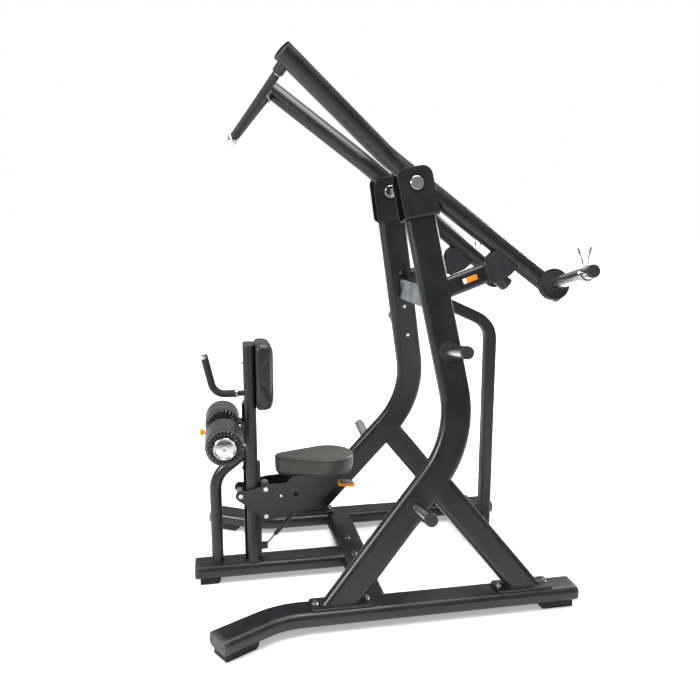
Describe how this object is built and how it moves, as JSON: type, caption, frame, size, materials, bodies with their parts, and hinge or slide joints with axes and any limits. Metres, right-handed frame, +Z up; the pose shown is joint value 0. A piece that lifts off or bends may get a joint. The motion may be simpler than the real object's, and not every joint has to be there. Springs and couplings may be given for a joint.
{
  "type": "plate-loaded lat pulldown machine",
  "caption": "Free-standing plate-loaded lat pulldown station with independent lever arms, adjustable seat and knee rollers, chest pad and horns for weight plates",
  "frame": {"origin": "on the floor, at the middle of the bounding box", "axes": "+Z up; +X towards the rear, where the weights hang; -Y the left side of the seated user, who faces -X"},
  "size_m": [1.52, 1.2924, 2.1471],
  "materials": {
    "textured_black": "fine textured powder coat, matt black",
    "black_plastic": "moulded, fine grain",
    "rubber": "moulded, matt",
    "chrome": "bright plated",
    "polished_steel": "ground and polished round bar",
    "bush_bronze": "sintered",
    "black_vinyl": "grained upholstery vinyl over foam",
    "plywood": "birch plywood",
    "orange_plastic": "moulded, satin",
    "grey_nylon": "turned",
    "badge_grey": "satin panel"
  },
  "bodies": {
    "frame": {"base_rails": "textured_black", "centre_rail": "textured_black", "front_cross_beam": "textured_black", "rear_cross_beam": "textured_black", "tube_caps": "black_plastic", "rubber_feet": "rubber", "base_plates": "textured_black", "frame_bolts": "chrome", "uprights": "textured_black", "braces": "textured_black", "pivot_brackets": "textured_black", "pivot_shafts": "chrome", "lever_bushes": "bush_bronze", "badge_beam": "textured_black", "badge_panel": "badge_grey", "rear_post": "textured_black", "stop_arms": "textured_black", "stop_bumpers": "rubber", "storage_horns": "polished_steel", "storage_flanges": "rubber", "storage_caps": "black_plastic", "pad_post": "textured_black", "guide_strips": "textured_black", "front_leg": "textured_black", "chest_pad": "black_vinyl", "chest_pad_board": "plywood", "support_handle": "textured_black", "support_grip": "rubber", "support_trim": "chrome"},
    "rollers": {"roller_carriage": "textured_black", "roller_axles": "chrome"},
    "roller_left": {"knee_roller_left": "black_vinyl"},
    "roller_right": {"knee_roller_right": "black_vinyl"},
    "pull_pin": {"pull_pin": "chrome", "pull_knob": "orange_plastic"},
    "seat": {"seat_carriage": "textured_black", "seat_axles": "chrome", "seat_board": "plywood", "seat_pad": "black_vinyl"},
    "wheel_front": {"seat_wheel_front": "grey_nylon"},
    "wheel_upper": {"seat_wheel_upper": "grey_nylon"},
    "wheel_lower": {"seat_wheel_lower": "grey_nylon"},
    "release": {"release_lever": "textured_black", "release_grip": "orange_plastic"},
    "gas_rod": {"gas_spring_rod": "chrome"},
    "gas_tube": {"gas_spring_tube": "textured_black"},
    "lever_left": {"lever_left": "textured_black", "lever_caps_left": "black_plastic", "load_horn_left": "polished_steel", "load_flange_left": "rubber", "handle_bar_left": "chrome", "handle_grip_left": "rubber"},
    "clip_left": {"spring_clip_left": "chrome"},
    "lever_right": {"lever_right": "textured_black", "lever_caps_right": "black_plastic", "load_horn_right": "polished_steel", "load_flange_right": "rubber", "handle_bar_right": "chrome", "handle_grip_right": "rubber"},
    "clip_right": {"spring_clip_right": "chrome"}
  },
  "joints": [
    {"name": "lever_left_swing", "type": "hinge", "parent": "frame", "child": "lever_left", "pos_m": [0.13025, -0.2058, 1.67142], "axis": [0, -0.9877, 0.1564], "range_deg": [0, 60]},
    {"name": "clip_left_slide", "type": "slide", "parent": "lever_left", "child": "clip_left", "axis": [0, -0.9724, 0.2334], "range_m": [-0.2, 0.035]},
    {"name": "lever_right_swing", "type": "hinge", "parent": "frame", "child": "lever_right", "pos_m": [0.13025, 0.2058, 1.67142], "axis": [0, -0.9877, -0.1564], "range_deg": [0, 60]},
    {"name": "clip_right_slide", "type": "slide", "parent": "lever_right", "child": "clip_right", "axis": [0, 0.9724, 0.2334], "range_m": [-0.2, 0.035]},
    {"name": "knee_height", "type": "slide", "parent": "frame", "child": "rollers", "axis": [0, 0, 1], "range_m": [0, 0.06]},
    {"name": "roller_left_spin", "type": "hinge", "parent": "rollers", "child": "roller_left", "pos_m": [-0.622, -0.1575, 0.666], "axis": [0, 1, 0], "continuous": true},
    {"name": "roller_right_spin", "type": "hinge", "parent": "rollers", "child": "roller_right", "pos_m": [-0.622, 0.1575, 0.666], "axis": [0, 1, 0], "continuous": true},
    {"name": "pull_pin_draw", "type": "slide", "parent": "rollers", "child": "pull_pin", "axis": [-1, 0, 0], "range_m": [0, 0.014], "stiffness_N_per_m": 600, "springref_m": -0.01},
    {"name": "seat_height", "type": "slide", "parent": "frame", "child": "seat", "axis": [0, 0, 1], "range_m": [-0.05, 0.06]},
    {"name": "wheel_front_turn", "type": "hinge", "parent": "seat", "child": "wheel_front", "pos_m": [-0.559, 0, 0.394], "axis": [0, 1, 0], "range_deg": [-300, 300]},
    {"name": "wheel_upper_turn", "type": "hinge", "parent": "seat", "child": "wheel_upper", "pos_m": [-0.454, 0, 0.419], "axis": [0, -1, 0], "range_deg": [-300, 300]},
    {"name": "wheel_lower_turn", "type": "hinge", "parent": "seat", "child": "wheel_lower", "pos_m": [-0.454, 0, 0.298], "axis": [0, -1, 0], "range_deg": [-300, 300]},
    {"name": "release_pull", "type": "hinge", "parent": "seat", "child": "release", "pos_m": [-0.215, 0, 0.402], "axis": [0, -1, 0], "range_deg": [0, 12], "stiffness_Nm_per_rad": 3, "springref_deg": -11.46},
    {"name": "gas_rod_swing", "type": "hinge", "parent": "frame", "child": "gas_rod", "pos_m": [-0.455, 0, 0.14], "axis": [0, -1, 0], "range_deg": [-8, 9]},
    {"name": "gas_tube_stroke", "type": "slide", "parent": "gas_rod", "child": "gas_tube", "axis": [0.6635, 0, 0.7482], "range_m": [-0.04, 0.048]}
  ],
  "couplings": [
    {"joint": "wheel_front_turn", "follows": "seat_height", "rad_per_m": 66.667},
    {"joint": "wheel_upper_turn", "follows": "seat_height", "rad_per_m": 55.556},
    {"joint": "wheel_lower_turn", "follows": "seat_height", "rad_per_m": 55.556},
    {"joint": "gas_rod_swing", "follows": "seat_height", "rad_per_m": 2.246},
    {"joint": "gas_tube_stroke", "follows": "seat_height", "ratio": 0.75}
  ]
}
